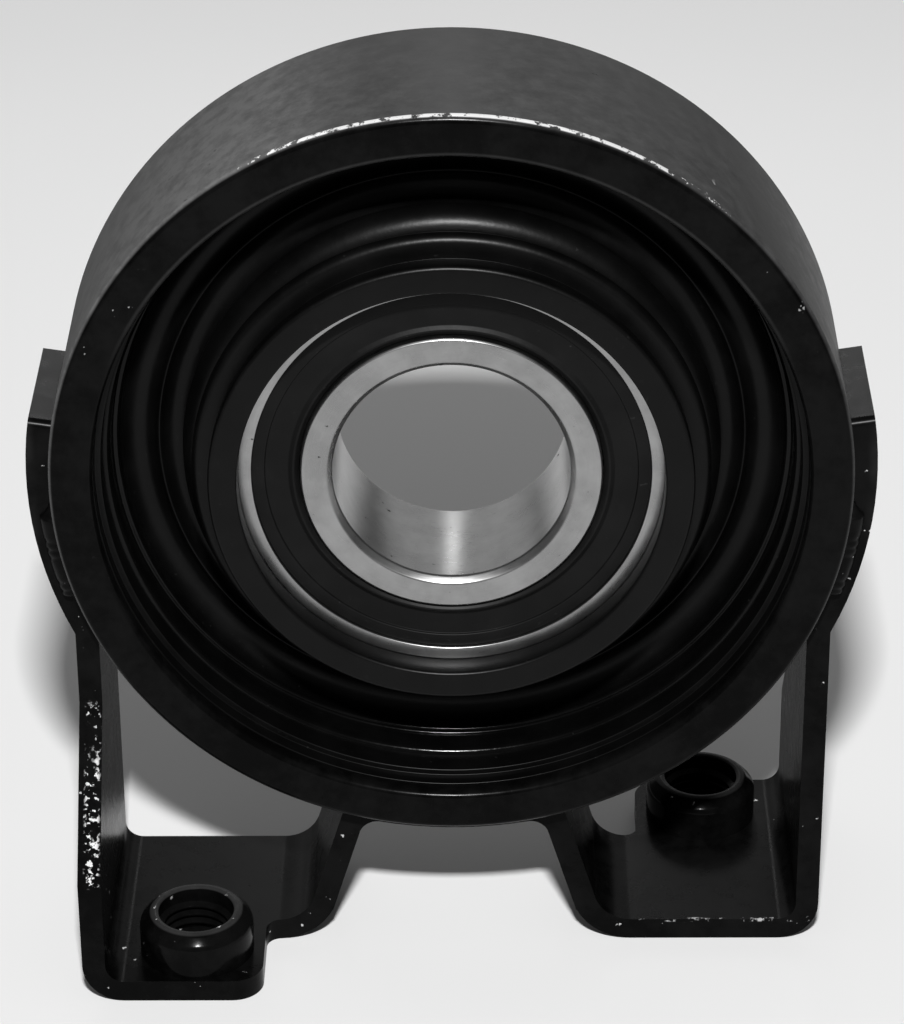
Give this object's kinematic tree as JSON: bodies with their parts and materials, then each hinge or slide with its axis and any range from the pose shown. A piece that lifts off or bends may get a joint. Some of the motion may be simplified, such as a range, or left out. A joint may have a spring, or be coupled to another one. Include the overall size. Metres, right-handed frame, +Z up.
{
  "type": "driveshaft centre bearing",
  "caption": "Driveshaft centre bearing: sealed ball bearing in a moulded rubber cushion and steel ring, on a bent strip bracket with diagonal threaded feet.",
  "frame": {"origin": "centre of the bearing, on the shaft axis, midway through its width", "axes": "+Y along the shaft towards the rear, -Y to the front that the picture shows, +Z up from the feet to the ring, +X to the right seen from the front"},
  "size_m": [0.107, 0.0488, 0.1205],
  "materials": {
    "ring_paint": "satin black paint, worn to bare metal along the front edge",
    "bracket_paint": "glossy black paint with bare sheared edges",
    "nut_paint": "glossy black paint",
    "cushion_rubber": "moulded, slightly glossy",
    "seal_rubber": "moulded, matte",
    "race_steel": "ground",
    "sleeve_steel": "pressed sheet",
    "cage_steel": "pressed sheet",
    "ball_steel": "polished"
  },
  "bodies": {
    "housing": {"outer_ring": "ring_paint", "support_bracket": "bracket_paint", "weld_nut_front_left": "nut_paint", "weld_nut_rear_right": "nut_paint", "weld_beads": "bracket_paint", "rubber_cushion": "cushion_rubber", "bearing_sleeve": "sleeve_steel", "outer_race": "race_steel", "front_seal": "seal_rubber", "rear_seal": "seal_rubber"},
    "shaft_race": {"inner_race": "race_steel"},
    "ball_cage": {"cage_front_half": "cage_steel", "cage_rear_half": "cage_steel", "cage_rivets": "cage_steel"},
    "ball_01": {"ball_01": "ball_steel"},
    "ball_02": {"ball_02": "ball_steel"},
    "ball_03": {"ball_03": "ball_steel"},
    "ball_04": {"ball_04": "ball_steel"},
    "ball_05": {"ball_05": "ball_steel"},
    "ball_06": {"ball_06": "ball_steel"},
    "ball_07": {"ball_07": "ball_steel"},
    "ball_08": {"ball_08": "ball_steel"},
    "ball_09": {"ball_09": "ball_steel"},
    "ball_10": {"ball_10": "ball_steel"},
    "ball_11": {"ball_11": "ball_steel"}
  },
  "joints": [
    {"name": "inner_race_spin", "type": "hinge", "parent": "housing", "child": "shaft_race", "pos_m": [0, 0, 0], "axis": [0, 1, 0], "continuous": true},
    {"name": "cage_spin", "type": "hinge", "parent": "housing", "child": "ball_cage", "pos_m": [0, 0, 0], "axis": [0, 1, 0], "continuous": true},
    {"name": "ball_01_roll", "type": "hinge", "parent": "ball_cage", "child": "ball_01", "pos_m": [0.02125, 0, 0], "axis": [0, 1, 0], "continuous": true},
    {"name": "ball_02_roll", "type": "hinge", "parent": "ball_cage", "child": "ball_02", "pos_m": [0.01788, 0, 0.01149], "axis": [0, 1, 0], "continuous": true},
    {"name": "ball_03_roll", "type": "hinge", "parent": "ball_cage", "child": "ball_03", "pos_m": [0.00883, 0, 0.01933], "axis": [0, 1, 0], "continuous": true},
    {"name": "ball_04_roll", "type": "hinge", "parent": "ball_cage", "child": "ball_04", "pos_m": [-0.00302, 0, 0.02103], "axis": [0, 1, 0], "continuous": true},
    {"name": "ball_05_roll", "type": "hinge", "parent": "ball_cage", "child": "ball_05", "pos_m": [-0.01392, 0, 0.01606], "axis": [0, 1, 0], "continuous": true},
    {"name": "ball_06_roll", "type": "hinge", "parent": "ball_cage", "child": "ball_06", "pos_m": [-0.02039, 0, 0.00599], "axis": [0, 1, 0], "continuous": true},
    {"name": "ball_07_roll", "type": "hinge", "parent": "ball_cage", "child": "ball_07", "pos_m": [-0.02039, 0, -0.00599], "axis": [0, 1, 0], "continuous": true},
    {"name": "ball_08_roll", "type": "hinge", "parent": "ball_cage", "child": "ball_08", "pos_m": [-0.01392, 0, -0.01606], "axis": [0, 1, 0], "continuous": true},
    {"name": "ball_09_roll", "type": "hinge", "parent": "ball_cage", "child": "ball_09", "pos_m": [-0.00302, 0, -0.02103], "axis": [0, 1, 0], "continuous": true},
    {"name": "ball_10_roll", "type": "hinge", "parent": "ball_cage", "child": "ball_10", "pos_m": [0.00883, 0, -0.01933], "axis": [0, 1, 0], "continuous": true},
    {"name": "ball_11_roll", "type": "hinge", "parent": "ball_cage", "child": "ball_11", "pos_m": [0.01788, 0, -0.01149], "axis": [0, 1, 0], "continuous": true}
  ],
  "couplings": [
    {"joint": "cage_spin", "follows": "inner_race_spin", "ratio": 0.41595},
    {"joint": "ball_01_roll", "follows": "inner_race_spin", "ratio": -2.8905},
    {"joint": "ball_02_roll", "follows": "inner_race_spin", "ratio": -2.8905},
    {"joint": "ball_03_roll", "follows": "inner_race_spin", "ratio": -2.8905},
    {"joint": "ball_04_roll", "follows": "inner_race_spin", "ratio": -2.8905},
    {"joint": "ball_05_roll", "follows": "inner_race_spin", "ratio": -2.8905},
    {"joint": "ball_06_roll", "follows": "inner_race_spin", "ratio": -2.8905},
    {"joint": "ball_07_roll", "follows": "inner_race_spin", "ratio": -2.8905},
    {"joint": "ball_08_roll", "follows": "inner_race_spin", "ratio": -2.8905},
    {"joint": "ball_09_roll", "follows": "inner_race_spin", "ratio": -2.8905},
    {"joint": "ball_10_roll", "follows": "inner_race_spin", "ratio": -2.8905},
    {"joint": "ball_11_roll", "follows": "inner_race_spin", "ratio": -2.8905}
  ]
}
